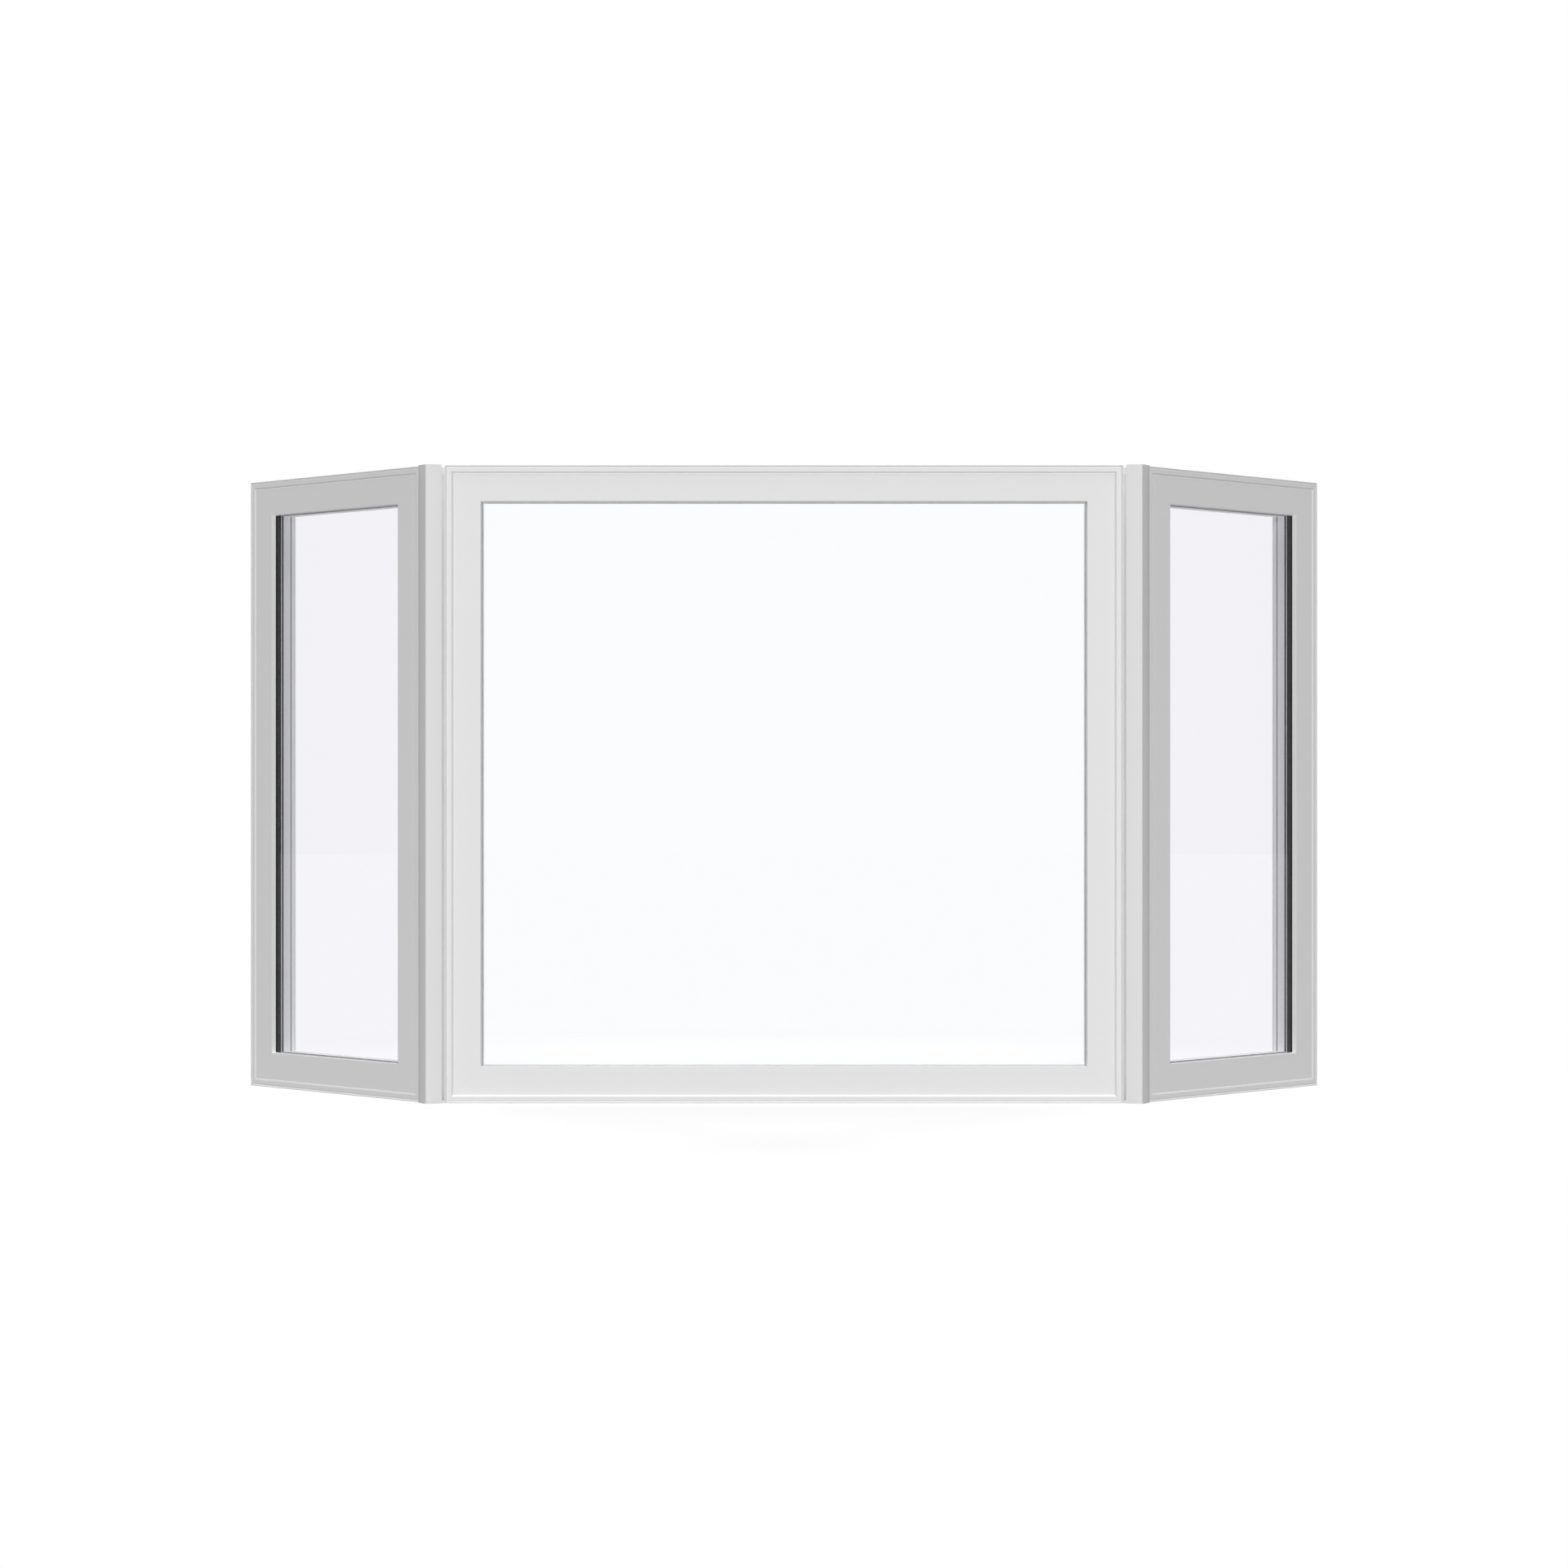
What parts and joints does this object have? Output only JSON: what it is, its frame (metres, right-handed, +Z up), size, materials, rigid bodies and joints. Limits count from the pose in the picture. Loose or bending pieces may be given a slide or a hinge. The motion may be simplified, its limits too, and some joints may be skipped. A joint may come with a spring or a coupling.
{
  "type": "bay window",
  "caption": "White vinyl bay window: a wide fixed centre unit, narrow casement flankers angled back on each side, and ridged covers over the corner posts.",
  "frame": {"origin": "middle of the underside of the centre unit's sill", "axes": "+X to the right seen from outside, +Y into the building, +Z up"},
  "size_m": [2.6546, 0.5708, 1.5],
  "materials": {
    "frame_vinyl": "smooth satin white",
    "sash_vinyl": "smooth satin white",
    "cover_vinyl": "smooth satin white",
    "glass": "clear float glass",
    "black_seal": "matte black",
    "post_aluminium": "mill finish",
    "hardware_white": "white powder coat"
  },
  "bodies": {
    "root": {"centre_frame_head": "frame_vinyl", "centre_frame_sill": "frame_vinyl", "centre_frame_left_jamb": "frame_vinyl", "centre_frame_right_jamb": "frame_vinyl", "centre_sash_top_rail": "sash_vinyl", "centre_sash_bottom_rail": "sash_vinyl", "centre_sash_left_stile": "sash_vinyl", "centre_sash_right_stile": "sash_vinyl", "centre_glazing_beads": "sash_vinyl", "centre_glass": "glass", "centre_seals": "black_seal", "left_flanker_frame_head": "frame_vinyl", "left_flanker_frame_sill": "frame_vinyl", "left_flanker_frame_left_jamb": "frame_vinyl", "left_flanker_frame_right_jamb": "frame_vinyl", "left_flanker_sash_top_rail": "sash_vinyl", "left_flanker_sash_bottom_rail": "sash_vinyl", "left_flanker_sash_left_stile": "sash_vinyl", "left_flanker_sash_right_stile": "sash_vinyl", "left_flanker_glazing_beads": "sash_vinyl", "left_flanker_glass": "glass", "left_flanker_seals": "black_seal", "right_flanker_frame_head": "frame_vinyl", "right_flanker_frame_sill": "frame_vinyl", "right_flanker_frame_left_jamb": "frame_vinyl", "right_flanker_frame_right_jamb": "frame_vinyl", "right_flanker_sash_top_rail": "sash_vinyl", "right_flanker_sash_bottom_rail": "sash_vinyl", "right_flanker_sash_left_stile": "sash_vinyl", "right_flanker_sash_right_stile": "sash_vinyl", "right_flanker_glazing_beads": "sash_vinyl", "right_flanker_glass": "glass", "right_flanker_seals": "black_seal", "left_mullion_cover": "cover_vinyl", "left_mullion_post": "post_aluminium", "left_inner_cover": "cover_vinyl", "left_flanker_crank_operator": "hardware_white", "left_flanker_crank_handle": "hardware_white", "left_flanker_lock_lever": "hardware_white", "right_mullion_cover": "cover_vinyl", "right_mullion_post": "post_aluminium", "right_inner_cover": "cover_vinyl", "right_flanker_crank_operator": "hardware_white", "right_flanker_crank_handle": "hardware_white", "right_flanker_lock_lever": "hardware_white"}
  },
  "joints": []
}
